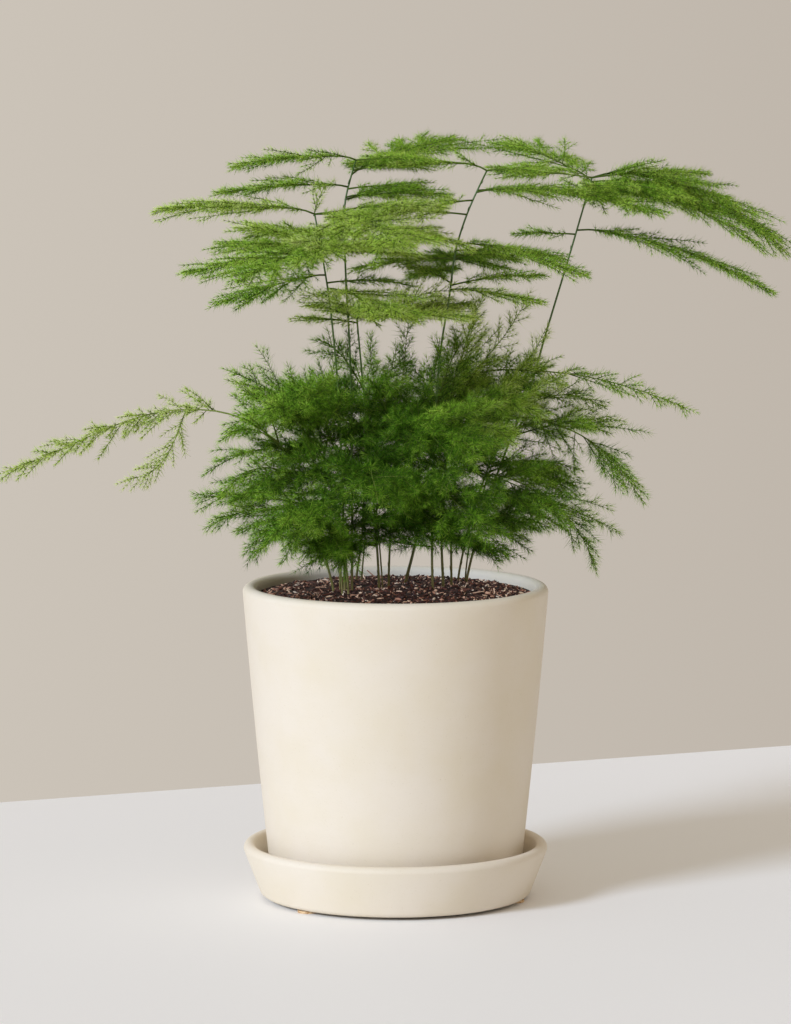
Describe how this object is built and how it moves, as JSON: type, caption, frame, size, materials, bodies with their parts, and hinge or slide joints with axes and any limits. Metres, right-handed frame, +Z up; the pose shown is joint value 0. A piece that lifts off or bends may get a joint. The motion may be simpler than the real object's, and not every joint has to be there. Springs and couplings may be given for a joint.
{
  "type": "potted fern",
  "caption": "Feathery asparagus fern with layered plumes on wiry canes, growing in a tapered matte stoneware pot that stands on its own round saucer.",
  "frame": {"origin": "on the table, under the centre of the pot and saucer, on the undersides of the foot pads", "axes": "+Z up, +X to the right and +Y to the back of the plant as it is displayed; the plant spreads furthest along X"},
  "size_m": [0.3921, 0.2119, 0.3735],
  "materials": {
    "stoneware": "matte",
    "cork": "matte",
    "potting_soil": "matte",
    "rhizome": "matte",
    "cane": "satin",
    "foliage": "satin"
  },
  "bodies": {
    "root": {"foot_pad_1": "cork", "foot_pad_2": "cork", "foot_pad_3": "cork", "saucer": "stoneware", "pot": "stoneware", "potting_soil": "potting_soil", "root_crown": "rhizome", "cane_1": "cane", "cane_2": "cane", "cane_3": "cane", "cane_4": "cane", "cane_5": "cane", "cane_6": "cane", "cane_7": "cane", "cane_8": "cane", "cane_9": "cane", "cane_10": "cane", "cane_11": "cane", "cane_12": "cane", "cane_13": "cane", "frond_1": "foliage", "frond_2": "foliage", "frond_3": "foliage", "frond_4": "foliage", "frond_5": "foliage", "frond_6": "foliage", "frond_7": "foliage", "frond_8": "foliage", "frond_9": "foliage", "frond_10": "foliage", "frond_11": "foliage", "frond_12": "foliage", "frond_13": "foliage", "frond_14": "foliage", "frond_15": "foliage", "frond_16": "foliage", "frond_17": "foliage", "frond_18": "foliage", "frond_19": "foliage", "frond_20": "foliage", "frond_21": "foliage", "frond_22": "foliage", "frond_23": "foliage", "frond_24": "foliage", "frond_25": "foliage", "frond_26": "foliage", "frond_27": "foliage", "frond_28": "foliage", "frond_29": "foliage", "frond_30": "foliage", "frond_31": "foliage", "frond_32": "foliage", "frond_33": "foliage", "frond_34": "foliage", "frond_35": "foliage", "frond_36": "foliage", "frond_37": "foliage", "frond_38": "foliage", "frond_39": "foliage", "frond_40": "foliage"}
  },
  "joints": []
}
